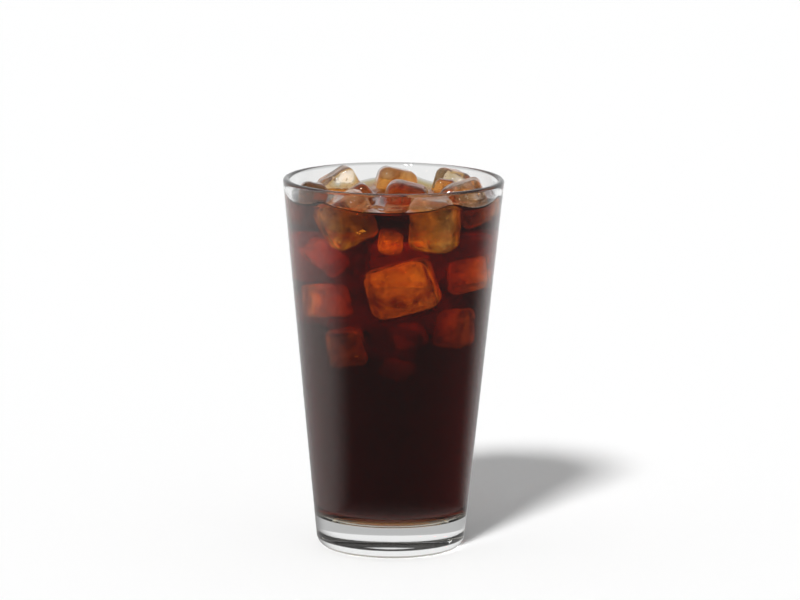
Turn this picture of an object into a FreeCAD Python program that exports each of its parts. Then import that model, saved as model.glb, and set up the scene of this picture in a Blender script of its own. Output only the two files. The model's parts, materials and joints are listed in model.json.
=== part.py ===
"""Cold brew coffee over ice in a tall tapered tumbler, modelled in millimetres.

The glass stands on z = 0 with its axis on Z. Its inside is full of coffee up
to a flat level, and the ice blocks that break the surface lie in the coffee,
which is cut round them.
"""

import FreeCAD, Part

import math
import os

import Sketcher

DOC = FreeCAD.newDocument("cold_brew_coffee")

# Driving sizes of the glass and the drink, millimetres and degrees.
SIZES = [
    ("glass_height", 150.0, "foot to rim"),
    ("rim_radius", 44.5, "outside, at the rim"),
    ("base_radius", 29.5, "outside, where the side would meet the table"),
    ("heel_round", 5.5, "outer corner between side and foot"),
    ("rim_wall", 2.7, "wall at the rim"),
    ("low_wall", 3.4, "wall at the floor of the cavity"),
    ("floor_thickness", 12.6, "solid glass under the drink"),
    ("floor_round", 6.0, "inner corner between wall and floor"),
    ("rim_round", 1.25, "both edges of the rim"),
    ("punt_radius", 20.0, "shallow hollow under the foot"),
    ("punt_depth", 0.9, "depth of that hollow"),
    ("punt_slope", 2.0, "width of the hollow's sloping edge"),
    ("coffee_level", 142.0, "flat surface of the drink above the table"),
    ("ice_taper", 2.5, "draft of the ice blocks, from the mould"),
]

# Ice blocks that break the surface: width, depth, height and melted edge, then
# the centre, then how far each is turned about the upright, nods to the front
# and leans to the side. Blocks lie on each other as they would after pouring,
# so no two stand alike.
ICE = [
    ("ice_1", (17.0, 14.0, 20.0, 3.6), (-20.4, 16.8, 141.2), (10.0, 5.0, -29.0)),
    ("ice_2", (12.6, 14.0, 17.0, 4.0), (-32.6, -0.4, 140.2), (2.0, -5.0, 10.0)),
    ("ice_3", (18.0, 16.5, 20.0, 4.6), (0.2, 30.2, 140.2), (5.0, -5.0, 12.0)),
    ("ice_4", (18.8, 15.5, 19.5, 5.0), (4.7, -4.4, 139.8), (-4.0, 5.0, 10.0)),
    ("ice_5", (12.5, 11.5, 13.5, 3.4), (-13.2, 1.6, 140.6), (4.0, 4.0, -34.0)),
    ("ice_6", (14.5, 14.5, 19.0, 4.0), (22.8, 22.2, 141.2), (44.0, 0.0, 15.0)),
    ("ice_7", (10.5, 8.5, 14.0, 3.2), (20.6, 5.4, 142.8), (-5.0, 3.0, 4.0)),
    ("ice_8", (18.4, 13.0, 16.6, 3.4), (28.5, -6.4, 142.0), (-3.0, 3.0, -21.0)),
    ("ice_9", (20.5, 18.5, 20.5, 4.8), (-16.8, -21.6, 136.8), (6.0, 2.0, -29.0)),
    ("ice_10", (19.0, 17.5, 21.5, 4.6), (14.6, -24.2, 135.6), (-8.0, 3.0, 3.0)),
]


def make_sheet():
    """Puts every driving size in a spreadsheet cell with an alias."""
    sheet = DOC.addObject("Spreadsheet::Sheet", "sizes")
    rows = list(SIZES)
    for name, size, centre, turn in ICE:
        for word, value in zip(("width", "depth", "height", "round"), size):
            rows.append((f"{name}_{word}", value, "block"))
        for word, value in zip(("east", "north", "rise"), centre):
            rows.append((f"{name}_{word}", value, "centre"))
        for word, value in zip(("turn", "nod", "lean"), turn):
            rows.append((f"{name}_{word}", value, "degrees"))
    for number, (alias, value, note) in enumerate(rows, start=1):
        sheet.set(f"A{number}", alias)
        sheet.set(f"B{number}", str(value))
        sheet.set(f"C{number}", note)
        sheet.setAlias(f"B{number}", alias)
    DOC.recompute()
    return sheet


SHEET = make_sheet()


def size(alias):
    """Reads one driving size back from the sheet."""
    return float(SHEET.get(alias))


def origin_plane(body, role):
    """Finds one of a body's own origin planes."""
    for feature in body.Origin.OriginFeatures:
        if feature.Role == role:
            return feature
    raise ValueError(role)


def closed_outline(body, name, points, dimensions):
    """Draws a closed outline of straight lines on the body's XZ plane.

    points is a list of (x, z) corners. dimensions is a list of
    (corner, "x" or "y", expression): the expression drives that coordinate.
    """
    sketch = body.newObject("Sketcher::SketchObject", name)
    sketch.AttachmentSupport = [(origin_plane(body, "XZ_Plane"), "")]
    sketch.MapMode = "FlatFace"
    vectors = [FreeCAD.Vector(x, z, 0) for x, z in points]
    count = len(vectors)
    for index in range(count):
        line = Part.LineSegment(vectors[index], vectors[(index + 1) % count])
        sketch.addGeometry(line, False)
    for index in range(count):
        following = (index + 1) % count
        sketch.addConstraint(Sketcher.Constraint("Coincident", index, 2, following, 1))
    for corner, along, expression in dimensions:
        value = points[corner][0] if along == "x" else points[corner][1]
        if expression == "0":
            # On an axis of the sketch: -2 is its vertical, -1 its horizontal.
            axis = -2 if along == "x" else -1
            sketch.addConstraint(Sketcher.Constraint("PointOnObject", corner, 1, axis))
            continue
        kind = "DistanceX" if along == "x" else "DistanceY"
        constraint = sketch.addConstraint(
            Sketcher.Constraint(kind, -1, 1, corner, 1, value)
        )
        label = f"corner_{corner}_{along}"
        sketch.renameConstraint(constraint, label)
        sketch.setExpression(f"Constraints.{label}", expression)
    DOC.recompute()
    return sketch


def revolve(body, name, sketch):
    """Turns an outline a full turn about the body's Z axis."""
    turned = body.newObject("PartDesign::Revolution", name)
    turned.Profile = sketch
    turned.ReferenceAxis = (sketch, ["V_Axis"])
    turned.Angle = 360.0
    sketch.Visibility = False
    DOC.recompute()
    return turned


def ring_edges(shape, radius, height, reach=0.05):
    """Names the round edges of a given radius at a given height."""
    names = []
    for number, edge in enumerate(shape.Edges, start=1):
        curve = edge.Curve
        if not isinstance(curve, Part.Circle):
            continue
        if abs(curve.Radius - radius) < reach and abs(curve.Center.z - height) < reach:
            names.append(f"Edge{number}")
    return names


def round_edges(body, name, base, edges, alias):
    """Rounds the named edges of a feature by a size from the sheet."""
    if not edges:
        raise ValueError(f"{name}: no edge to round")
    fillet = body.newObject("PartDesign::Fillet", name)
    fillet.Base = (base, edges)
    fillet.Radius = size(alias)
    fillet.setExpression("Radius", f"sizes.{alias}")
    base.Visibility = False
    DOC.recompute()
    return fillet


SIDE_SLOPE = "(sizes.rim_radius - sizes.base_radius) / sizes.glass_height"
LOW_INSIDE = f"sizes.base_radius + {SIDE_SLOPE} * sizes.floor_thickness - sizes.low_wall"
RIM_INSIDE = "sizes.rim_radius - sizes.rim_wall"


def side_radius(height):
    """Outer radius of the glass at a height."""
    slope = (size("rim_radius") - size("base_radius")) / size("glass_height")
    return size("base_radius") + slope * height


def cavity_radius(height):
    """Inner radius of the glass at a height above its floor."""
    low = side_radius(size("floor_thickness")) - size("low_wall")
    top = size("rim_radius") - size("rim_wall")
    rise = size("glass_height") - size("floor_thickness")
    return low + (top - low) * (height - size("floor_thickness")) / rise


def make_glass():
    """A heavy-bottomed tumbler: tapered wall, thick floor, hollow foot."""
    body = DOC.addObject("PartDesign::Body", "glass")
    body.Label = "glass"
    top = size("glass_height")
    floor = size("floor_thickness")
    hollow = size("punt_radius")
    depth = size("punt_depth")
    inner = hollow - size("punt_slope")
    points = [
        (0.0, depth),
        (inner, depth),
        (hollow, 0.0),
        (size("base_radius"), 0.0),
        (size("rim_radius"), top),
        (size("rim_radius") - size("rim_wall"), top),
        (cavity_radius(floor), floor),
        (0.0, floor),
    ]
    dimensions = [
        (0, "x", "0"),
        (0, "y", "sizes.punt_depth"),
        (1, "x", "sizes.punt_radius - sizes.punt_slope"),
        (1, "y", "sizes.punt_depth"),
        (2, "x", "sizes.punt_radius"),
        (2, "y", "0"),
        (3, "x", "sizes.base_radius"),
        (3, "y", "0"),
        (4, "x", "sizes.rim_radius"),
        (4, "y", "sizes.glass_height"),
        (5, "x", RIM_INSIDE),
        (5, "y", "sizes.glass_height"),
        (6, "x", LOW_INSIDE),
        (6, "y", "sizes.floor_thickness"),
        (7, "x", "0"),
        (7, "y", "sizes.floor_thickness"),
    ]
    sketch = closed_outline(body, "glass_outline", points, dimensions)
    solid = revolve(body, "glass_turned", sketch)

    rim_outer = ring_edges(solid.Shape, size("rim_radius"), top)
    rim_inner = ring_edges(solid.Shape, size("rim_radius") - size("rim_wall"), top)
    solid = round_edges(body, "glass_rim", solid, rim_outer + rim_inner, "rim_round")
    heel = ring_edges(solid.Shape, size("base_radius"), 0.0)
    solid = round_edges(body, "glass_heel", solid, heel, "heel_round")
    corner = ring_edges(solid.Shape, cavity_radius(floor), floor)
    solid = round_edges(body, "glass_floor_corner", solid, corner, "floor_round")
    return body


def make_fill():
    """All that the glass holds, up to the level, before the ice is cut out."""
    body = DOC.addObject("PartDesign::Body", "coffee_fill")
    floor = size("floor_thickness")
    level = size("coffee_level")
    run = f"({RIM_INSIDE} - ({LOW_INSIDE}))"
    rise = "(sizes.glass_height - sizes.floor_thickness)"
    share = f"(sizes.coffee_level - sizes.floor_thickness) / {rise}"
    points = [
        (0.0, floor),
        (cavity_radius(floor), floor),
        (cavity_radius(level), level),
        (0.0, level),
    ]
    dimensions = [
        (0, "x", "0"),
        (0, "y", "sizes.floor_thickness"),
        (1, "x", LOW_INSIDE),
        (1, "y", "sizes.floor_thickness"),
        (2, "x", f"{LOW_INSIDE} + {run} * {share}"),
        (2, "y", "sizes.coffee_level"),
        (3, "x", "0"),
        (3, "y", "sizes.coffee_level"),
    ]
    sketch = closed_outline(body, "coffee_outline", points, dimensions)
    solid = revolve(body, "coffee_turned", sketch)
    corner = ring_edges(solid.Shape, cavity_radius(floor), floor)
    round_edges(body, "coffee_floor_corner", solid, corner, "floor_round")
    return body


def make_ice(name):
    """One ice block: a drafted box with melted edges, tilted in its place."""
    body = DOC.addObject("PartDesign::Body", name)
    body.Label = name
    wide = size(f"{name}_width") / 2
    deep = size(f"{name}_depth") / 2
    sketch = body.newObject("Sketcher::SketchObject", f"{name}_foot")
    sketch.AttachmentSupport = [(origin_plane(body, "XY_Plane"), "")]
    sketch.MapMode = "FlatFace"
    corners = [(-wide, -deep), (wide, -deep), (wide, deep), (-wide, deep)]
    for index, (x, y) in enumerate(corners):
        onward = corners[(index + 1) % 4]
        start = FreeCAD.Vector(x, y, 0)
        sketch.addGeometry(Part.LineSegment(start, FreeCAD.Vector(*onward, 0)), False)
    for index in range(4):
        following = (index + 1) % 4
        sketch.addConstraint(Sketcher.Constraint("Coincident", index, 2, following, 1))
    sketch.addConstraint(Sketcher.Constraint("Horizontal", 0))
    sketch.addConstraint(Sketcher.Constraint("Horizontal", 2))
    sketch.addConstraint(Sketcher.Constraint("Vertical", 1))
    sketch.addConstraint(Sketcher.Constraint("Vertical", 3))
    sketch.addConstraint(Sketcher.Constraint("Symmetric", 0, 1, 2, 1, -1, 1))
    for kind, line, word in (("DistanceX", 0, "width"), ("DistanceY", 1, "depth")):
        span = size(f"{name}_{word}")
        number = sketch.addConstraint(Sketcher.Constraint(kind, line, 1, line, 2, span))
        sketch.renameConstraint(number, word)
        sketch.setExpression(f"Constraints.{word}", f"sizes.{name}_{word}")
    DOC.recompute()

    block = body.newObject("PartDesign::Pad", f"{name}_block")
    block.Profile = sketch
    block.Length = size(f"{name}_height")
    block.setExpression("Length", f"sizes.{name}_height")
    block.Midplane = True
    block.TaperAngle = -size("ice_taper")
    block.setExpression("TaperAngle", "-sizes.ice_taper")
    block.TaperAngle2 = size("ice_taper")
    block.setExpression("TaperAngle2", "sizes.ice_taper")
    sketch.Visibility = False
    DOC.recompute()
    every_edge = [f"Edge{number + 1}" for number in range(len(block.Shape.Edges))]
    round_edges(body, f"{name}_melted", block, every_edge, f"{name}_round")

    # Turned about Z, nodded about X, leaned about Y, then moved to its place.
    centre = [size(f"{name}_{word}") for word in ("east", "north", "rise")]
    turned = FreeCAD.Rotation(FreeCAD.Vector(0, 0, 1), size(f"{name}_turn"))
    nodded = FreeCAD.Rotation(FreeCAD.Vector(1, 0, 0), size(f"{name}_nod"))
    leaned = FreeCAD.Rotation(FreeCAD.Vector(0, 1, 0), size(f"{name}_lean"))
    place = FreeCAD.Vector(*centre)
    body.Placement = FreeCAD.Placement(place, leaned * nodded * turned)
    for axis, word in (("x", "east"), ("y", "north"), ("z", "rise")):
        body.setExpression(f"Placement.Base.{axis}", f"sizes.{name}_{word}")
    DOC.recompute()
    return body


def make_coffee(fill, blocks):
    """The drink: the fill, cut round every ice block that breaks its surface."""
    ice = DOC.addObject("Part::MultiFuse", "ice_together")
    ice.Shapes = blocks
    coffee = DOC.addObject("Part::Cut", "coffee")
    coffee.Label = "coffee"
    coffee.Base = fill
    coffee.Tool = ice
    DOC.recompute()
    return coffee


GLASS = make_glass()
FILL = make_fill()
BLOCKS = [make_ice(name) for name, *_ in ICE]
COFFEE = make_coffee(FILL, BLOCKS)
DOC.recompute()


def check_document(pieces):
    """Stops before anything is written if an object or a shape is at fault."""
    for item in DOC.Objects:
        if "Invalid" in item.State or "Error" in item.State:
            raise RuntimeError(f"{item.Name}: {item.State}")
    for piece in pieces:
        shape = piece.Shape
        if shape.isNull() or not shape.isValid():
            raise RuntimeError(f"{piece.Label}: bad shape")
        if len(shape.Solids) != 1:
            raise RuntimeError(f"{piece.Label}: {len(shape.Solids)} solids")


def report(pieces):
    """Prints each piece's volume, and the gaps between neighbours."""
    for piece in pieces:
        box = piece.Shape.BoundBox
        low = f"{box.XMin:.1f} {box.YMin:.1f} {box.ZMin:.1f}"
        high = f"{box.XMax:.1f} {box.YMax:.1f} {box.ZMax:.1f}"
        print(f"{piece.Label}: {piece.Shape.Volume / 1000:.2f} ml, {low} to {high}")
    for index, one in enumerate(BLOCKS):
        wall = one.Shape.distToShape(GLASS.Shape)[0]
        line = [f"{one.Label} to glass {wall:.2f}"]
        for other in BLOCKS[index + 1 :]:
            gap = one.Shape.distToShape(other.Shape)[0]
            if gap < 1.5:
                shared = one.Shape.common(other.Shape).Volume
                line.append(f"{other.Label} {gap:.2f} (shares {shared:.2f} mm3)")
        print(", ".join(line))
    taper = size("rim_radius") - size("base_radius")
    print(f"side leans {math.degrees(math.atan2(taper, size('glass_height'))):.2f} degrees")


PIECES = [GLASS, COFFEE, *BLOCKS]
check_document(PIECES)
report(PIECES)

os.makedirs("parts", exist_ok=True)
for piece in PIECES:
    piece.Shape.exportStep(f"parts/{piece.Label}.step")
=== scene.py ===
"""Cold brew coffee over ice in a tall tapered tumbler.

The glass is turned from its own profile, the drink is poured into it with a
rim of liquid climbing the wall and the ice, and the ice lies in hollows in
the drink, so that light passes glass, drink and ice in the right order.
Sizes are metres, but for the tables of ice and bubbles, which are millimetres.
"""

import json
import math
import random

import bmesh
import bpy
from mathutils import Matrix, Vector, noise
from mathutils.bvhtree import BVHTree

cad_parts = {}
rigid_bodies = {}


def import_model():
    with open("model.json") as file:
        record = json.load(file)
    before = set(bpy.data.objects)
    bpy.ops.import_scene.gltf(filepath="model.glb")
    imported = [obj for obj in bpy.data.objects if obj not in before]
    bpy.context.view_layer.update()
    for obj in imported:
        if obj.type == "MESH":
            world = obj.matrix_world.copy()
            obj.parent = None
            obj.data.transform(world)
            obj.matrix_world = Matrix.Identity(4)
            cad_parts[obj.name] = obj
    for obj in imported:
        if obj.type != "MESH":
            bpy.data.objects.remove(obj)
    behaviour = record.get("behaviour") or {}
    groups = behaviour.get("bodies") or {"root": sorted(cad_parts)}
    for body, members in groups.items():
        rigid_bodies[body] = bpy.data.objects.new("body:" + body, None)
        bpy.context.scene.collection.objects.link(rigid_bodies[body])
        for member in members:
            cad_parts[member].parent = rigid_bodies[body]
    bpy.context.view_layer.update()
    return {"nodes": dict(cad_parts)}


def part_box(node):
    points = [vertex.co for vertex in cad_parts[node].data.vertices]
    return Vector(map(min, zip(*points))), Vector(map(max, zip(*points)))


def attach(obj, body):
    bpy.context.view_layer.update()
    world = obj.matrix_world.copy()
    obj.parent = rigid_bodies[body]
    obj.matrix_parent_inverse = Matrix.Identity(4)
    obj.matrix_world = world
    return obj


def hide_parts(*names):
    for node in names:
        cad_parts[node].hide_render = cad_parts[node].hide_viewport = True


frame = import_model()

MM = 0.001
_, GLASS_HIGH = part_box("glass")
DRINK_LOW, DRINK_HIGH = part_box("coffee")
SURFACE_ICE = sorted(name for name in frame["nodes"] if name.startswith("ice_"))

# The glass's section, as the turned solid has it.
RIM_RADIUS = GLASS_HIGH.x
HEIGHT = GLASS_HIGH.z
RIM_OVER_BASE = 15.0 * MM
BASE_RADIUS = RIM_RADIUS - RIM_OVER_BASE
RIM_WALL = 2.7 * MM
LOW_WALL = 3.4 * MM
HEEL_ROUND = 5.5 * MM
FLOOR_ROUND = 6.0 * MM
RIM_ROUND = 1.3 * MM
PUNT_RADIUS = 20.0 * MM
PUNT_DEPTH = 0.9 * MM
PUNT_SLOPE = 3.0 * MM
FLOOR = DRINK_LOW.z
LEVEL = DRINK_HIGH.z

# How far the drink reaches into the wall, and the ice into the drink.
INTO_WALL = 0.16 * MM
INTO_DRINK = 0.12 * MM

# Liquid climbs the wall and the ice by capillarity, most where they are close;
# each climb dies away over its reach.
REST_LEVEL = LEVEL - 1.2 * MM
CLIMB_WALL = 1.3 * MM
CLIMB_ICE = 1.5 * MM
CLIMB_BETWEEN = 4.6 * MM
CLIMB_REACH = 2.0 * MM
ICE_TO_WALL_REACH = 3.2 * MM
WALL_TO_ICE_REACH = 2.4 * MM
SURFACE_RIPPLE = 0.25 * MM
CONTACT_EDGE = 0.25 * MM

# How finely the turned pieces are divided round the axis.
TURNS = 192

# Waves of the pressed wall; what melting takes off the ice, in broad and fine
# dimples; how even the ice's skin is.
WALL_WAVES = 0.05 * MM
BROAD_MELT = 1.1 * MM
FINE_MELT = 0.22 * MM
BLOCK_SKIN = 0.6 * MM
LUMP_SKIN = 0.9 * MM
BLOCK_DRAFT = 0.05

# Fine air in the ice: bubbles to a block, their radii in millimetres, and the
# least ice between a bubble and the outside.
BUBBLES_ABOVE = 46
BUBBLES_UNDER = 40
BUBBLE_SIZES = (0.10, 0.13, 0.16, 0.22, 0.34)
BUBBLE_COVER = 0.5 * MM

# The heights between which the painted glow in the ice goes through its shades,
# standing in for light from above that fades with depth.
PAINTED_GLOW_FROM, PAINTED_GLOW_TO = 70 * MM, 150 * MM

# Refractive indices, and what a metre of coffee swallows of red, green and blue.
GLASS_INDEX, COFFEE_INDEX, ICE_INDEX = 1.5, 1.34, 1.31
COFFEE_SWALLOWS = (68.0, 166.0, 440.0)
COFFEE_DENSITY = 500.0

# The key light comes from the left in front; the rest is an even fill.
KEY_TOWARDS = (0.38, 1.1, -1.0)
KEY_STRENGTH = 3.3
KEY_SPREAD = math.radians(9)
FILL = 0.39

# What gloss and clear pieces see: bright towards this side, dark away from it.
BRIGHT_SIDE = (-0.45, 0.893, 0.0)
DARK_LEVEL, BRIGHT_LEVEL = 0.13, 0.9

# The ground under the glass, in metres, set just below the foot.
GROUND_WHITE = 0.93
GROUND_REACH = 8.0
GROUND_GAP = 0.05 * MM

# The camera: its lens in millimetres, how far off and how far above it stands,
# its roll, and how far right and up of the middle it aims for each metre away.
LENS = 250.2
CAMERA_AWAY = 2.235
CAMERA_ABOVE = math.radians(10.46)
CAMERA_ROLL = math.radians(0.52)
AIM_RIGHT, AIM_UP = 0.00134, 0.01124

# Starting points of the random draws, so that every build is the same.
BUBBLE_SEED, SUNK_SEED, LUMP_SEED = 11, 31, 61

# Ice under the surface: width, depth, height and melted edge, then the centre,
# all in millimetres, then how far each is turned about the upright, nods to the
# front and leans to the side, in degrees.
SUNK_ICE = [
    ((26.0, 19.0, 21.5, 4.8), (3.0, -22.4, 110.2), (-4.0, 3.0, -16.0)),
    ((16.0, 14.0, 12.0, 3.4), (-21.0, -1.6, 120.4), (4.0, 0.0, 42.0)),
    ((18.0, 15.0, 15.0, 3.6), (-22.6, -10.0, 103.2), (12.0, -8.0, -6.0)),
    ((15.5, 14.0, 16.5, 4.0), (-16.2, -16.6, 85.4), (-10.0, 6.0, -12.0)),
    ((17.5, 16.0, 15.5, 4.0), (25.2, -5.6, 113.8), (8.0, -5.0, -9.0)),
    ((14.5, 14.0, 17.0, 4.2), (21.0, -9.4, 92.6), (-14.0, 4.0, 5.0)),
    ((13.0, 11.0, 11.0, 3.4), (5.0, -9.0, 89.6), (20.0, 8.0, -14.0)),
    ((12.0, 12.0, 10.0, 3.2), (2.0, -12.0, 76.4), (-16.0, 5.0, 20.0)),
    ((9.5, 12.0, 11.0, 3.0), (-0.8, -19.5, 129.0), (4.0, 5.0, 6.0)),
]

# Blocks frozen together behind them, each as above; they make one lump.
FROZEN_LUMP = [
    ((20.0, 20.0, 20.5, 4.0), (1.8, 2.0, 118.0), (4.0, 0.0, 1.0)),
    ((20.0, 19.0, 22.0, 4.0), (-16.6, 17.2, 118.4), (-6.0, 1.0, 2.0)),
    ((22.0, 21.0, 21.0, 4.0), (1.5, 22.6, 117.6), (4.0, -2.0, -2.0)),
    ((19.0, 18.5, 22.0, 4.0), (17.8, 15.8, 119.0), (6.0, 2.0, 1.0)),
    ((22.0, 22.0, 24.0, 4.4), (-9.0, 16.0, 100.0), (10.0, -4.0, 5.0)),
    ((21.0, 20.0, 24.0, 4.4), (7.0, 15.0, 99.0), (-8.0, 5.0, -5.0)),
    ((17.0, 15.0, 15.0, 4.4), (-1.0, 14.0, 83.5), (24.0, 5.0, 8.0)),
]


# ---------------------------------------------------------------- the section


def side_radius(height):
    """Outer radius of the glass at a height."""
    return BASE_RADIUS + (RIM_RADIUS - BASE_RADIUS) * height / HEIGHT


def cavity_radius(height):
    """Inner radius of the glass at a height."""
    low = side_radius(FLOOR) - LOW_WALL
    top = RIM_RADIUS - RIM_WALL
    return low + (top - low) * (height - FLOOR) / (HEIGHT - FLOOR)


def arc(centre, radius, start, end, count):
    """Points (r, z) on an arc, angles in degrees."""
    points = []
    for index in range(count + 1):
        angle = math.radians(start + (end - start) * index / count)
        r = centre[0] + radius * math.cos(angle)
        points.append((r, centre[1] + radius * math.sin(angle)))
    return points


def run(start, end, count):
    """Points (r, z) along a straight run, both ends left out."""
    points = []
    for index in range(1, count):
        share = index / count
        r = start[0] + (end[0] - start[0]) * share
        points.append((r, start[1] + (end[1] - start[1]) * share))
    return points


def fitted_corner(side, base, radius, lean):
    """Centre of the arc that rounds the corner between a level and a leaning side.

    side(z) is the side's radius at a height, and base the height of the level.
    """
    height = base + radius
    return side(height) - radius / math.cos(lean), height


SIDE_LEAN = math.atan((RIM_RADIUS - BASE_RADIUS) / HEIGHT)
CAVITY_LEAN = math.atan(
    (cavity_radius(HEIGHT) - cavity_radius(FLOOR)) / (HEIGHT - FLOOR)
)


def glass_section():
    """The whole outline of the glass, from under its foot round to its floor."""
    tilt = math.degrees(SIDE_LEAN)
    inner_tilt = math.degrees(CAVITY_LEAN)
    heel = fitted_corner(side_radius, 0.0, HEEL_ROUND, SIDE_LEAN)
    corner = fitted_corner(cavity_radius, FLOOR, FLOOR_ROUND, CAVITY_LEAN)
    lip = HEIGHT - RIM_ROUND
    outer_lip = (side_radius(lip) - RIM_ROUND / math.cos(SIDE_LEAN), lip)
    inner_lip = (cavity_radius(lip) + RIM_ROUND / math.cos(CAVITY_LEAN), lip)

    section = [(0.0, PUNT_DEPTH)]
    section += run((0.0, PUNT_DEPTH), (PUNT_RADIUS - PUNT_SLOPE, PUNT_DEPTH), 8)
    for share in (0.0, 0.2, 0.4, 0.6, 0.8, 1.0):
        drop = 0.5 + 0.5 * math.cos(math.pi * share)
        section.append((PUNT_RADIUS - PUNT_SLOPE * (1 - share), PUNT_DEPTH * drop))
    section += run((PUNT_RADIUS, 0.0), (heel[0], 0.0), 4)
    outside = arc(heel, HEEL_ROUND, -90, -tilt, 14)
    section += outside
    section += run(outside[-1], (side_radius(lip), lip), 60)
    section += arc(outer_lip, RIM_ROUND, -tilt, 90, 8)
    section += arc(inner_lip, RIM_ROUND, 90, 180 - inner_tilt, 8)
    inside = arc(corner, FLOOR_ROUND, -inner_tilt, -90, 12)
    section += run((cavity_radius(lip), lip), inside[0], 60)
    section += inside
    section += run(inside[-1], (0.0, FLOOR), 10)
    section.append((0.0, FLOOR))
    return section


def round_axis(radius, height):
    """Points round the axis at a radius and height; only one if on the axis."""
    if radius <= 1e-9:
        return [(0.0, 0.0, height)]
    angles = [2 * math.pi * index / TURNS for index in range(TURNS)]
    return [(radius * math.cos(a), radius * math.sin(a), height) for a in angles]


def skin_rings(form, rings):
    """Closes the skin over rings of vertices, from the first to the last."""
    for low, high in zip(rings, rings[1:]):
        for index in range(TURNS):
            onward = (index + 1) % TURNS
            if len(low) == 1:
                form.faces.new((low[0], high[index], high[onward]))
            elif len(high) == 1:
                form.faces.new((low[onward], low[index], high[0]))
            else:
                form.faces.new((low[index], high[index], high[onward], low[onward]))
    bmesh.ops.recalc_face_normals(form, faces=form.faces)


def add_piece(name, mesh, finish, nodes=()):
    """Links a mesh as a piece of the object, with its finish and slot."""
    piece = bpy.data.objects.new(name, mesh)
    bpy.context.scene.collection.objects.link(piece)
    mesh.materials.clear()
    mesh.materials.append(finish)
    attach(piece, "root")
    if nodes:
        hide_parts(*nodes)
    return piece


# ------------------------------------------------------------------ finishes


def new_finish(name):
    """An empty node material."""
    finish = bpy.data.materials.new(name)
    finish.use_nodes = True
    finish.node_tree.nodes.clear()
    return finish


def uneven_group():
    """Height of a pressed, poured or melted surface: long waves and fine ripples."""
    group = bpy.data.node_groups.new("uneven_surface", "ShaderNodeTree")
    sockets = group.interface
    sockets.new_socket(name="Wave Size", in_out="INPUT", socket_type="NodeSocketFloat")
    sockets.new_socket(name="Ripple Size", in_out="INPUT", socket_type="NodeSocketFloat")
    sockets.new_socket(name="Ripple Share", in_out="INPUT", socket_type="NodeSocketFloat")
    sockets.new_socket(name="Height", in_out="OUTPUT", socket_type="NodeSocketFloat")
    nodes, links = group.nodes, group.links
    enter = nodes.new("NodeGroupInput")
    leave = nodes.new("NodeGroupOutput")
    place = nodes.new("ShaderNodeTexCoord")
    wave = nodes.new("ShaderNodeTexNoise")
    wave.inputs["Detail"].default_value = 1.5
    ripple = nodes.new("ShaderNodeTexNoise")
    ripple.inputs["Detail"].default_value = 3.0
    mixed = nodes.new("ShaderNodeMix")
    mixed.data_type = "FLOAT"
    links.new(place.outputs["Object"], wave.inputs["Vector"])
    links.new(place.outputs["Object"], ripple.inputs["Vector"])
    links.new(enter.outputs["Wave Size"], wave.inputs["Scale"])
    links.new(enter.outputs["Ripple Size"], ripple.inputs["Scale"])
    links.new(enter.outputs["Ripple Share"], mixed.inputs["Factor"])
    links.new(wave.outputs["Fac"], mixed.inputs["A"])
    links.new(ripple.outputs["Fac"], mixed.inputs["B"])
    links.new(mixed.outputs["Result"], leave.inputs["Height"])
    return group


UNEVEN = uneven_group()


def clear_finish(name, ior, waves, bump, absorb=None, clear=1.0):
    """A clear finish with an uneven surface.

    waves is (wave, ripple, ripple share); bump is (strength, distance);
    absorb is (colour, density) of what the body swallows.
    """
    finish = new_finish(name)
    nodes, links = finish.node_tree.nodes, finish.node_tree.links
    leave = nodes.new("ShaderNodeOutputMaterial")
    shader = nodes.new("ShaderNodeBsdfPrincipled")
    shader.inputs["Base Color"].default_value = (1.0, 1.0, 1.0, 1.0)
    shader.inputs["Roughness"].default_value = 0.0
    shader.inputs["IOR"].default_value = ior
    shader.inputs["Transmission Weight"].default_value = clear
    links.new(shader.outputs["BSDF"], leave.inputs["Surface"])
    uneven = nodes.new("ShaderNodeGroup")
    uneven.node_tree = UNEVEN
    for word, value in zip(("Wave Size", "Ripple Size", "Ripple Share"), waves):
        uneven.inputs[word].default_value = value
    relief = nodes.new("ShaderNodeBump")
    relief.inputs["Strength"].default_value = bump[0]
    relief.inputs["Distance"].default_value = bump[1]
    links.new(uneven.outputs["Height"], relief.inputs["Height"])
    links.new(relief.outputs["Normal"], shader.inputs["Normal"])
    if absorb:
        swallow = nodes.new("ShaderNodeVolumeAbsorption")
        swallow.inputs["Color"].default_value = (*absorb[0], 1.0)
        swallow.inputs["Density"].default_value = absorb[1]
        links.new(swallow.outputs["Volume"], leave.inputs["Volume"])
    return finish, shader


def glass_finish():
    """Polished soda-lime glass, pressed, so faintly wavy."""
    finish, shader = clear_finish(
        "polished_glass", GLASS_INDEX, (45.0, 260.0, 0.15), (0.12, 0.6 * MM)
    )
    shader.inputs["Base Color"].default_value = (0.985, 0.992, 0.99, 1.0)
    return finish


def coffee_finish():
    """Clear coffee: amber where thin, nearly black through the whole glass."""
    colour = tuple(1.0 - part / COFFEE_DENSITY for part in COFFEE_SWALLOWS)
    waves, bump = (60.0, 300.0, 0.2), (0.1, 0.5 * MM)
    absorb = (colour, COFFEE_DENSITY)
    finish, _ = clear_finish("cold_coffee", COFFEE_INDEX, waves, bump, absorb)
    return finish


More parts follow.
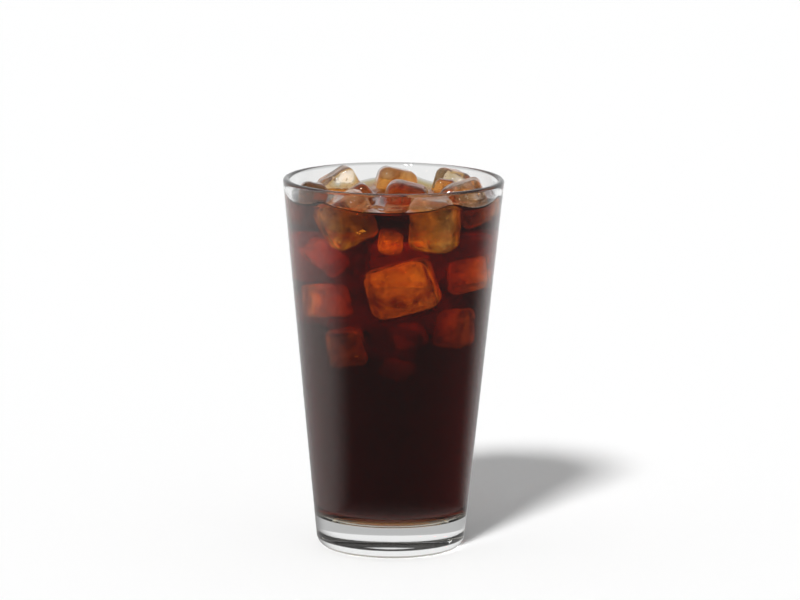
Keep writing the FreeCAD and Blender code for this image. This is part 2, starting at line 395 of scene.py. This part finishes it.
def painted_glow_group():
    """Painted glow in the ice: its finish gives off amber light, standing in for light
    from above scattered by fine air; amber at the top, gone lower down.

    A painted highlight makes it brightest at the lower edges of the blocks just
    under the surface.
    """
    group = bpy.data.node_groups.new("painted_light_in_ice", "ShaderNodeTree")
    sockets = group.interface
    sockets.new_socket(name="Share", in_out="INPUT", socket_type="NodeSocketFloat")
    sockets.new_socket(name="Glow", in_out="OUTPUT", socket_type="NodeSocketColor")
    nodes, links = group.nodes, group.links
    enter = nodes.new("NodeGroupInput")
    leave = nodes.new("NodeGroupOutput")
    place = nodes.new("ShaderNodeTexCoord")
    parts = nodes.new("ShaderNodeSeparateXYZ")
    links.new(place.outputs["Object"], parts.inputs["Vector"])
    depth = nodes.new("ShaderNodeMapRange")
    depth.inputs["From Min"].default_value = PAINTED_GLOW_FROM
    depth.inputs["From Max"].default_value = PAINTED_GLOW_TO
    links.new(parts.outputs["Z"], depth.inputs["Value"])
    # Painted shade by height: no glow low down, where light from above would not reach,
    # amber near the top.
    shades = nodes.new("ShaderNodeValToRGB")
    ramp = shades.color_ramp
    ramp.elements[0].position = 0.0
    ramp.elements[0].color = (0.0, 0.0, 0.0, 1.0)
    ramp.elements[1].position = 1.0
    ramp.elements[1].color = (0.42, 0.2, 0.075, 1.0)
    for position, colour in (
        (0.22, (0.13, 0.034, 0.009, 1.0)),
        (0.48, (0.36, 0.12, 0.03, 1.0)),
        (0.67, (0.42, 0.17, 0.05, 1.0)),
        # Painted highlight: a bright band about 127 mm up, for the lit lower edges of the
        # blocks just under the surface.
        (0.72, (1.0, 0.66, 0.22, 1.0)),
        (0.78, (0.45, 0.22, 0.08, 1.0)),
    ):
        ramp.elements.new(position).color = colour
    links.new(depth.outputs["Result"], shades.inputs["Fac"])
    # Patches where the painted glow is stronger, as where fine air would catch more
    # light.
    cloud = nodes.new("ShaderNodeTexNoise")
    cloud.inputs["Scale"].default_value = 120.0
    cloud.inputs["Detail"].default_value = 5.0
    cloud.inputs["Roughness"].default_value = 0.62
    cloud.inputs["Distortion"].default_value = 0.8
    links.new(place.outputs["Object"], cloud.inputs["Vector"])
    patches = nodes.new("ShaderNodeMapRange")
    patches.inputs["From Min"].default_value = 0.42
    patches.inputs["From Max"].default_value = 0.7
    patches.inputs["To Min"].default_value = 0.1
    patches.inputs["To Max"].default_value = 2.4
    links.new(cloud.outputs["Fac"], patches.inputs["Value"])
    amount = nodes.new("ShaderNodeMath")
    amount.operation = "MULTIPLY"
    links.new(patches.outputs["Result"], amount.inputs[0])
    links.new(enter.outputs["Share"], amount.inputs[1])
    lit = nodes.new("ShaderNodeVectorMath")
    lit.operation = "SCALE"
    links.new(shades.outputs["Color"], lit.inputs[0])
    links.new(amount.outputs["Value"], lit.inputs["Scale"])
    links.new(lit.outputs["Vector"], leave.inputs["Glow"])
    return group


def film_group():
    """A broken film of coffee: streaks that shade from one tint to the other."""
    group = bpy.data.node_groups.new("coffee_film", "ShaderNodeTree")
    sockets = group.interface
    sockets.new_socket(name="Film", in_out="INPUT", socket_type="NodeSocketFloat")
    sockets.new_socket(name="Bare Tint", in_out="INPUT", socket_type="NodeSocketColor")
    sockets.new_socket(name="Film Tint", in_out="INPUT", socket_type="NodeSocketColor")
    sockets.new_socket(name="Tint", in_out="OUTPUT", socket_type="NodeSocketColor")
    nodes, links = group.nodes, group.links
    enter = nodes.new("NodeGroupInput")
    leave = nodes.new("NodeGroupOutput")
    place = nodes.new("ShaderNodeTexCoord")
    streak = nodes.new("ShaderNodeTexNoise")
    streak.inputs["Scale"].default_value = 110.0
    streak.inputs["Detail"].default_value = 4.0
    streak.inputs["Distortion"].default_value = 1.2
    links.new(place.outputs["Object"], streak.inputs["Vector"])
    # The more film there is, the sooner a streak begins and the sooner it is full.
    begins = nodes.new("ShaderNodeMath")
    begins.operation = "SUBTRACT"
    begins.inputs[0].default_value = 0.5
    links.new(enter.outputs["Film"], begins.inputs[1])
    full = nodes.new("ShaderNodeMath")
    full.operation = "MULTIPLY_ADD"
    full.inputs[1].default_value = -0.6
    full.inputs[2].default_value = 0.78
    links.new(enter.outputs["Film"], full.inputs[0])
    covered = nodes.new("ShaderNodeMapRange")
    links.new(streak.outputs["Fac"], covered.inputs["Value"])
    links.new(begins.outputs["Value"], covered.inputs["From Min"])
    links.new(full.outputs["Value"], covered.inputs["From Max"])
    tinted = nodes.new("ShaderNodeMix")
    tinted.data_type = "RGBA"
    links.new(covered.outputs["Result"], tinted.inputs["Factor"])
    links.new(enter.outputs["Bare Tint"], tinted.inputs["A"])
    links.new(enter.outputs["Film Tint"], tinted.inputs["B"])
    links.new(tinted.outputs["Result"], leave.inputs["Tint"])
    return group


PAINTED_GLOW = painted_glow_group()
FILM = film_group()


def ice_finish(name, film, clear, tints, painted_glow_share):
    """Wet ice: uneven melted faces, with a broken film of coffee on them.

    film is how much of the face is filmed over; tints are the bare ice's and the
    film's; clear is how much light goes through, the rest being frost and air.
    The glow share is how much painted glow the finish gives off, light that
    stands in for what fine air in the ice would catch.
    """
    waves, bump = (120.0, 420.0, 0.3), (0.42, 0.8 * MM)
    finish, shader = clear_finish(name, ICE_INDEX, waves, bump, clear=clear)
    nodes, links = finish.node_tree.nodes, finish.node_tree.links
    coat = nodes.new("ShaderNodeGroup")
    coat.node_tree = FILM
    coat.inputs["Film"].default_value = film
    coat.inputs["Bare Tint"].default_value, coat.inputs["Film Tint"].default_value = tints
    links.new(coat.outputs["Tint"], shader.inputs["Base Color"])
    # Painted glow: the finish gives off amber light by height, standing in for light
    # scattered in the ice.
    painted_glow_node = nodes.new("ShaderNodeGroup")
    painted_glow_node.node_tree = PAINTED_GLOW
    painted_glow_node.inputs["Share"].default_value = painted_glow_share
    links.new(painted_glow_node.outputs["Glow"], shader.inputs["Emission Color"])
    shader.inputs["Emission Strength"].default_value = 1.0
    return finish


# ----------------------------------------------------------------------- ice


def block_form(size, rounding, seed):
    """A melted block about the origin: rounded, drafted, dimpled."""
    form = bmesh.new()
    bmesh.ops.create_cube(form, size=2.0)
    bmesh.ops.subdivide_edges(form, edges=form.edges, cuts=22, use_grid_fill=True)
    half = Vector(size) * 0.5
    core = half - Vector((rounding,) * 3)
    for vert in form.verts:
        point = Vector(vert.co[axis] * half[axis] for axis in range(3))
        held = Vector(max(-c, min(c, p)) for p, c in zip(point, core))
        away = point - held
        if away.length > 1e-9:
            point = held + away.normalized() * rounding
        draft = 1.0 - BLOCK_DRAFT * point.z / half.z
        point.x *= draft
        point.y *= draft
        vert.co = point
    form.normal_update()
    dimple_form(form, seed)
    return form


def dimple_form(form, seed):
    """Melts a form a little unevenly, always inwards."""
    offset = Vector((seed * 7.3, seed * 3.1, seed * 5.7))
    moves = []
    for vert in form.verts:
        broad = noise.noise(vert.co * 95.0 + offset) * 0.5 + 0.5
        fine = noise.noise(vert.co * 330.0 + offset) * 0.5 + 0.5
        moves.append(vert.normal * -(broad * BROAD_MELT + fine * FINE_MELT))
    for vert, move in zip(form.verts, moves):
        vert.co += move


def add_bubbles(form, tree, share):
    """Leaves fine air bubbles in a block, in a loose cloud near one side."""
    low = Vector(min(v.co[i] for v in form.verts) for i in range(3))
    high = Vector(max(v.co[i] for v in form.verts) for i in range(3))
    heart = Vector(random.uniform(low[i], high[i]) for i in range(3))
    heart = heart.lerp((low + high) * 0.5, 0.45)
    made = 0
    for _ in range(share * 4):
        spread = Vector(random.gauss(0.0, (high[i] - low[i]) * 0.2) for i in range(3))
        centre = heart + spread
        radius = random.choice(BUBBLE_SIZES) * MM
        near, normal, _, distance = tree.find_nearest(centre)
        inside = (centre - near).dot(normal) < 0
        if not inside or distance < radius + BUBBLE_COVER:
            continue
        ball = bmesh.ops.create_icosphere(
            form, subdivisions=1, radius=radius, matrix=Matrix.Translation(centre)
        )
        faces = {face for vert in ball["verts"] for face in vert.link_faces}
        bmesh.ops.reverse_faces(form, faces=list(faces))
        made += 1
        if made == share:
            return


def mesh_of(form, name):
    """Writes a form to a smooth mesh."""
    mesh = bpy.data.meshes.new(name)
    form.to_mesh(mesh)
    mesh.shade_smooth()
    return mesh


def hollow_of(form, inwards):
    """A copy of a form, drawn in along its normals, for the hollow it lies in."""
    hollow = form.copy()
    hollow.normal_update()
    moves = [vert.normal * -inwards for vert in hollow.verts]
    for vert, move in zip(hollow.verts, moves):
        vert.co += move
    return hollow


def placing(centre, turn):
    """Turned about Z, nodded about X, leaned about Y, then moved, from mm and degrees."""
    turned, nodded, leaned = (math.radians(angle) for angle in turn)
    spin = Matrix.Rotation(leaned, 4, "Y") @ Matrix.Rotation(nodded, 4, "X")
    spin = spin @ Matrix.Rotation(turned, 4, "Z")
    return Matrix.Translation(Vector(centre) * MM) @ spin


def placed_block(row, seed):
    """A melted block from its row: sizes, centre and turn."""
    measures, centre, turn = row
    form = block_form([m * MM for m in measures[:3]], measures[3] * MM, seed)
    form.transform(placing(centre, turn))
    return form


def gather(whole, form):
    """Adds a form's skin to a larger form."""
    scratch = mesh_of(form, "scratch")
    whole.from_mesh(scratch)
    bpy.data.meshes.remove(scratch)


def evened(source, voxel, smoothing, passes):
    """One closed, even skin over everything in a form, eased a little."""
    lump = bpy.data.objects.new("raw_skin", mesh_of(source, "raw_skin"))
    bpy.context.scene.collection.objects.link(lump)
    voxels = lump.modifiers.new("even", "REMESH")
    voxels.mode = "VOXEL"
    voxels.voxel_size = voxel
    ease = lump.modifiers.new("ease", "SMOOTH")
    ease.factor = smoothing
    ease.iterations = passes
    view = bpy.context.evaluated_depsgraph_get()
    form = bmesh.new()
    form.from_mesh(lump.evaluated_get(view).to_mesh())
    bpy.data.objects.remove(lump)
    form.normal_update()
    return form


def carried_block(node, seed):
    """The melted form of an ice block that the frame carries, from its own shape."""
    source = bmesh.new()
    source.from_mesh(frame["nodes"][node].data)
    form = evened(source, BLOCK_SKIN, 0.5, 2)
    source.free()
    dimple_form(form, seed)
    form.normal_update()
    return form


def lump_form():
    """The blocks that have frozen together, as one skin."""
    blocks = bmesh.new()
    for number, row in enumerate(FROZEN_LUMP):
        form = placed_block(row, LUMP_SEED + number)
        gather(blocks, form)
        form.free()
    form = evened(blocks, LUMP_SKIN, 0.5, 3)
    blocks.free()
    return form


def make_ice():
    """All the ice, as finished pieces, with the hollows it leaves in the drink."""
    random.seed(BUBBLE_SEED)
    clean, amber = (1.0, 0.97, 0.9, 1.0), (1.0, 0.84, 0.58, 1.0)
    tan, brown = (0.86, 0.56, 0.32, 1.0), (0.5, 0.2, 0.09, 1.0)
    # The last number of each finish is its share of painted glow.
    washed = ice_finish("ice_washed", 0.14, 0.98, (clean, amber), 0.12)
    wet = ice_finish("ice_wet", 0.16, 0.99, (clean, tan), 0.2)
    dark = ice_finish("ice_coffee_stained", 0.2, 1.0, (tan, brown), 0.06)
    under = ice_finish("ice_sunk", 0.02, 1.0, (clean, amber), 0.36)
    by_block = {"ice_1": washed, "ice_6": washed, "ice_2": dark, "ice_3": dark}
    by_block.update({"ice_4": dark, "ice_5": dark, "ice_7": dark})
    surface_hollows, sunk_hollows = [], []
    for number, node in enumerate(SURFACE_ICE):
        form = carried_block(node, number + 1)
        tree = BVHTree.FromBMesh(form)
        surface_hollows.append((hollow_of(form, INTO_DRINK), tree))
        add_bubbles(form, tree, BUBBLES_ABOVE)
        mesh = mesh_of(form, f"{node}_block")
        add_piece(f"{node}_block", mesh, by_block.get(node, wet), (node,))
        form.free()
    together = bmesh.new()
    forms = [placed_block(row, SUNK_SEED + n) for n, row in enumerate(SUNK_ICE)]
    forms.append(lump_form())
    for form in forms:
        form.normal_update()
        sunk_hollows.append(hollow_of(form, INTO_DRINK))
        add_bubbles(form, BVHTree.FromBMesh(form), BUBBLES_UNDER)
        gather(together, form)
        form.free()
    add_piece("ice_under_surface", mesh_of(together, "ice_under_surface"), under)
    together.free()
    return surface_hollows, sunk_hollows


# --------------------------------------------------------------------- drink


def surface_height(x, y, trees):
    """Height of the drink's surface: level, climbing the wall and the ice."""
    to_wall = max(cavity_radius(LEVEL) - math.hypot(x, y), 0.0)
    spot = Vector((x, y, LEVEL + 1.0 * MM))
    nearest = min(tree.find_nearest(spot)[3] for tree in trees)
    height = REST_LEVEL + CLIMB_WALL * math.exp(-to_wall / CLIMB_REACH)
    height += CLIMB_ICE * math.exp(-nearest / CLIMB_REACH)
    both = nearest / ICE_TO_WALL_REACH + to_wall / WALL_TO_ICE_REACH
    height += CLIMB_BETWEEN * math.exp(-both)
    ripple = noise.noise(Vector((x, y, 0.0)) * 140.0)
    return height + ripple * SURFACE_RIPPLE


# The surface's rings, as shares of the cavity's radius, closest at the wall.
SURFACE_RINGS = [1.0, 0.996, 0.992, 0.986, 0.978, 0.97, 0.96, 0.948, 0.935]
SURFACE_RINGS += [0.92 - 0.02 * step for step in range(45)]


def drink_form(trees):
    """The poured drink, before the ice is cut out, reaching into the wall."""
    corner = fitted_corner(cavity_radius, FLOOR, FLOOR_ROUND, CAVITY_LEAN)
    inner_tilt = math.degrees(CAVITY_LEAN)
    outline = [(0.0, FLOOR - INTO_WALL)]
    outline += run(outline[0], (corner[0], FLOOR - INTO_WALL), 10)
    outline += arc(corner, FLOOR_ROUND + INTO_WALL, -90, -inner_tilt, 12)
    top = (cavity_radius(LEVEL - 1 * MM) + INTO_WALL, LEVEL - 1 * MM)
    outline += run(outline[-1], top, 56)
    form = bmesh.new()
    rings = []
    for r, z in outline:
        rings.append([form.verts.new(point) for point in round_axis(r, z)])
    for share in SURFACE_RINGS:
        ring = []
        for x, y, _ in round_axis(cavity_radius(LEVEL) * share, LEVEL):
            height = surface_height(x, y, trees)
            reach = cavity_radius(height) * share
            if share == 1.0:
                reach += INTO_WALL
                height += CONTACT_EDGE
            out = reach / math.hypot(x, y)
            ring.append(form.verts.new((x * out, y * out, height)))
        rings.append(ring)
    rings.append([form.verts.new((0.0, 0.0, surface_height(0.0, 0.0, trees)))])
    skin_rings(form, rings)
    return form


def make_drink(surface_hollows, sunk_hollows, finish):
    """Cuts the drink round the ice, and keeps it as one closed piece."""
    form = drink_form([tree for _, tree in surface_hollows])
    drink = bpy.data.objects.new("poured", mesh_of(form, "poured"))
    bpy.context.scene.collection.objects.link(drink)
    form.free()
    cutters = bpy.data.collections.new("ice_hollows")
    bpy.context.scene.collection.children.link(cutters)
    for hollow, _ in surface_hollows:
        cutter = bpy.data.objects.new("hollow", mesh_of(hollow, "hollow"))
        cutters.objects.link(cutter)
        hollow.free()
    cut = drink.modifiers.new("ice", "BOOLEAN")
    cut.operation = "DIFFERENCE"
    cut.solver = "MANIFOLD"
    cut.operand_type = "COLLECTION"
    cut.collection = cutters
    view = bpy.context.evaluated_depsgraph_get()
    form = bmesh.new()
    form.from_mesh(drink.evaluated_get(view).to_mesh())
    for hollow in sunk_hollows:
        bmesh.ops.reverse_faces(hollow, faces=hollow.faces)
        gather(form, hollow)
        hollow.free()
    for cutter in list(cutters.objects):
        bpy.data.objects.remove(cutter)
    bpy.data.collections.remove(cutters)
    bpy.data.objects.remove(drink)
    mesh = mesh_of(form, "poured_coffee")
    mesh.set_sharp_from_angle(angle=math.radians(38))
    form.free()
    return add_piece("poured_coffee", mesh, finish, ("coffee",))


# --------------------------------------------------------------------- glass


def make_glass(finish):
    """The tumbler, turned from its section, a little uneven as pressed glass is."""

    def pressed(spot):
        point = Vector(spot)
        on_axis = point.xy.length < 1e-9
        if on_axis or point.z < 0.5 * MM or point.z > HEIGHT - 2.0 * MM:
            return point
        wobble = noise.noise(point * 22.0) * WALL_WAVES
        flat = Vector((point.x, point.y, 0.0)).normalized()
        return point + flat * wobble

    form = bmesh.new()
    rings = []
    for r, z in glass_section():
        rings.append([form.verts.new(pressed(spot)) for spot in round_axis(r, z)])
    skin_rings(form, rings)
    mesh = mesh_of(form, "tumbler")
    form.free()
    piece = add_piece("tumbler", mesh, finish, ("glass",))
    piece.visible_shadow = False
    return piece


# -------------------------------------------------------------------- studio


def map_range(nodes, links, value, low, high, start, end):
    """A smooth step of a value between two limits."""
    step = nodes.new("ShaderNodeMapRange")
    step.interpolation_type = "SMOOTHSTEP"
    step.inputs["From Min"].default_value = low
    step.inputs["From Max"].default_value = high
    step.inputs["To Min"].default_value = start
    step.inputs["To Max"].default_value = end
    links.new(value, step.inputs["Value"])
    return step.outputs["Result"]


def surroundings(nodes, links, heading):
    """What gloss and clear pieces see: bright behind and aside, dark in front."""
    aside = nodes.new("ShaderNodeVectorMath")
    aside.operation = "DOT_PRODUCT"
    aside.inputs[1].default_value = BRIGHT_SIDE
    links.new(heading, aside.inputs[0])
    toward, levels = aside.outputs["Value"], (DARK_LEVEL, BRIGHT_LEVEL)
    return map_range(nodes, links, toward, -0.25, 0.5, *levels)


def by_ray(nodes, links, kind, found):
    """A switch between levels: A, or B, what was found, for one kind of ray."""
    choice = nodes.new("ShaderNodeMix")
    choice.data_type = "FLOAT"
    links.new(kind, choice.inputs["Factor"])
    if found:
        links.new(found.outputs["Value"], choice.inputs["B"])
    return choice


def two_values(nodes, links, rule, first, second):
    """A rule of two values, such as the greater of them."""
    node = nodes.new("ShaderNodeMath")
    node.operation = rule
    links.new(first, node.inputs[0])
    links.new(second, node.inputs[1])
    return node


def make_floor():
    """A wide white floor that takes the shadow.

    To gloss and clear pieces it gives off painted light, shaded as the surroundings
    are, with a painted shadow that dims it near the glass and a little painted light
    right at the foot.
    """
    mesh = bpy.data.meshes.new("studio_floor")
    ways = ((-1, -1), (1, -1), (1, 1), (-1, 1))
    corners = [(x * GROUND_REACH, y * GROUND_REACH, 0) for x, y in ways]
    mesh.from_pydata(corners, [], [(0, 1, 2, 3)])
    floor = bpy.data.objects.new("studio_floor", mesh)
    floor.location.z = -GROUND_GAP
    bpy.context.scene.collection.objects.link(floor)
    white = new_finish("floor_white")
    nodes, links = white.node_tree.nodes, white.node_tree.links
    leave = nodes.new("ShaderNodeOutputMaterial")
    matt = nodes.new("ShaderNodeBsdfDiffuse")
    white_part = (GROUND_WHITE,) * 3
    matt.inputs["Color"].default_value = (*white_part, 1.0)
    place = nodes.new("ShaderNodeTexCoord")
    heading = nodes.new("ShaderNodeVectorMath")
    heading.operation = "NORMALIZE"
    path = nodes.new("ShaderNodeLightPath")
    links.new(place.outputs["Object"], heading.inputs[0])
    shade = surroundings(nodes, links, heading.outputs["Vector"])
    outward = nodes.new("ShaderNodeVectorMath")
    outward.operation = "LENGTH"
    links.new(place.outputs["Object"], outward.inputs[0])
    # Painted shadow: to gloss and clear pieces the floor is dimmer near the glass, for
    # the shadow that falls there.
    near = map_range(nodes, links, outward.outputs["Value"], 0.04, 0.75, 0.55, 1.0)
    # Painted light right at the foot, for the floor under the glass that light reaches
    # through it.
    foot = map_range(nodes, links, outward.outputs["Value"], 0.034, 0.1, 0.5, 0.0)
    painted_shadow_dimmed = two_values(nodes, links, "MULTIPLY", shade, near)
    painted_floor_light = two_values(nodes, links, "MAXIMUM", painted_shadow_dimmed.outputs["Value"], foot)
    gloss, clear = path.outputs["Is Glossy Ray"], path.outputs["Is Transmission Ray"]
    seen = two_values(nodes, links, "MAXIMUM", gloss, clear)
    # Painted light: gloss and clear pieces see the floor give off light at these levels
    # instead of taking the lamps' light.
    shine = nodes.new("ShaderNodeEmission")
    links.new(painted_floor_light.outputs["Value"], shine.inputs["Strength"])
    either = nodes.new("ShaderNodeMixShader")
    links.new(seen.outputs["Value"], either.inputs["Fac"])
    links.new(matt.outputs["BSDF"], either.inputs[1])
    links.new(shine.outputs["Emission"], either.inputs[2])
    links.new(either.outputs["Shader"], leave.inputs["Surface"])
    mesh.materials.append(white)


def make_studio():
    """The world and the key light.

    The camera sees white, gloss and clear pieces see the surroundings, and
    everything else has a plain level of light.
    """
    world = bpy.data.worlds.new("studio")
    bpy.context.scene.world = world
    world.use_nodes = True
    nodes, links = world.node_tree.nodes, world.node_tree.links
    nodes.clear()
    leave = nodes.new("ShaderNodeOutputWorld")
    light = nodes.new("ShaderNodeBackground")
    light.inputs["Color"].default_value = (1.0, 1.0, 1.0, 1.0)
    links.new(light.outputs["Background"], leave.inputs["Surface"])
    place = nodes.new("ShaderNodeTexCoord")
    parts = nodes.new("ShaderNodeSeparateXYZ")
    links.new(place.outputs["Generated"], parts.inputs["Vector"])
    path = nodes.new("ShaderNodeLightPath")

    glossy = surroundings(nodes, links, place.outputs["Generated"])
    overhead = map_range(nodes, links, parts.outputs["Z"], 0.55, 0.85, 0.0, 0.7)
    shown = two_values(nodes, links, "MAXIMUM", glossy, overhead)
    high = map_range(nodes, links, parts.outputs["Z"], 0.45, 0.85, 1.0, 0.3)
    through = two_values(nodes, links, "MINIMUM", high, glossy)

    level = by_ray(nodes, links, path.outputs["Is Glossy Ray"], shown)
    level.inputs["A"].default_value = FILL
    clear = by_ray(nodes, links, path.outputs["Is Transmission Ray"], through)
    links.new(level.outputs["Result"], clear.inputs["A"])
    seen = by_ray(nodes, links, path.outputs["Is Camera Ray"], None)
    links.new(clear.outputs["Result"], seen.inputs["A"])
    seen.inputs["B"].default_value = 1.0
    links.new(seen.outputs["Result"], light.inputs["Strength"])

    lamp = bpy.data.lights.new("key", "SUN")
    lamp.energy = KEY_STRENGTH
    lamp.angle = KEY_SPREAD
    key = bpy.data.objects.new("key", lamp)
    bpy.context.scene.collection.objects.link(key)
    key.rotation_mode = "QUATERNION"
    key.rotation_quaternion = Vector(KEY_TOWARDS).to_track_quat("-Z", "Y")


def make_camera():
    """A long lens from the front, a little above the rim."""
    data = bpy.data.cameras.new("camera")
    data.sensor_width = 36.0
    data.lens = LENS
    camera = bpy.data.objects.new("camera", data)
    bpy.context.scene.collection.objects.link(camera)
    bpy.context.scene.camera = camera
    aim = Vector((0.0, 0.0, 0.5 * HEIGHT))
    back = Vector((0.0, -math.cos(CAMERA_ABOVE), math.sin(CAMERA_ABOVE)))
    camera.location = aim + back * CAMERA_AWAY
    right = Vector((1.0, 0.0, 0.0))
    up = back.cross(right)
    # The glass stands a little low and left in the frame.
    ahead = -back + right * AIM_RIGHT + up * AIM_UP
    ahead.normalize()
    right = ahead.cross(up).normalized()
    up = right.cross(ahead)
    cosine, sine = math.cos(CAMERA_ROLL), math.sin(CAMERA_ROLL)
    spun_right = right * cosine + up * sine
    spun_up = up * cosine - right * sine
    axes = Matrix((spun_right, spun_up, -ahead)).transposed()
    camera.rotation_mode = "QUATERNION"
    camera.rotation_quaternion = axes.to_quaternion()
    data.clip_start, data.clip_end = 0.05, 60.0


surface_hollows, sunk_hollows = make_ice()
make_drink(surface_hollows, sunk_hollows, coffee_finish())
make_glass(glass_finish())
make_floor()
make_studio()
make_camera()

scene = bpy.context.scene
scene.view_settings.view_transform = "Standard"
scene.cycles.max_bounces = 28
scene.cycles.transmission_bounces = 28
scene.cycles.glossy_bounces = 10
scene.cycles.transparent_max_bounces = 12

bpy.context.view_layer.update()
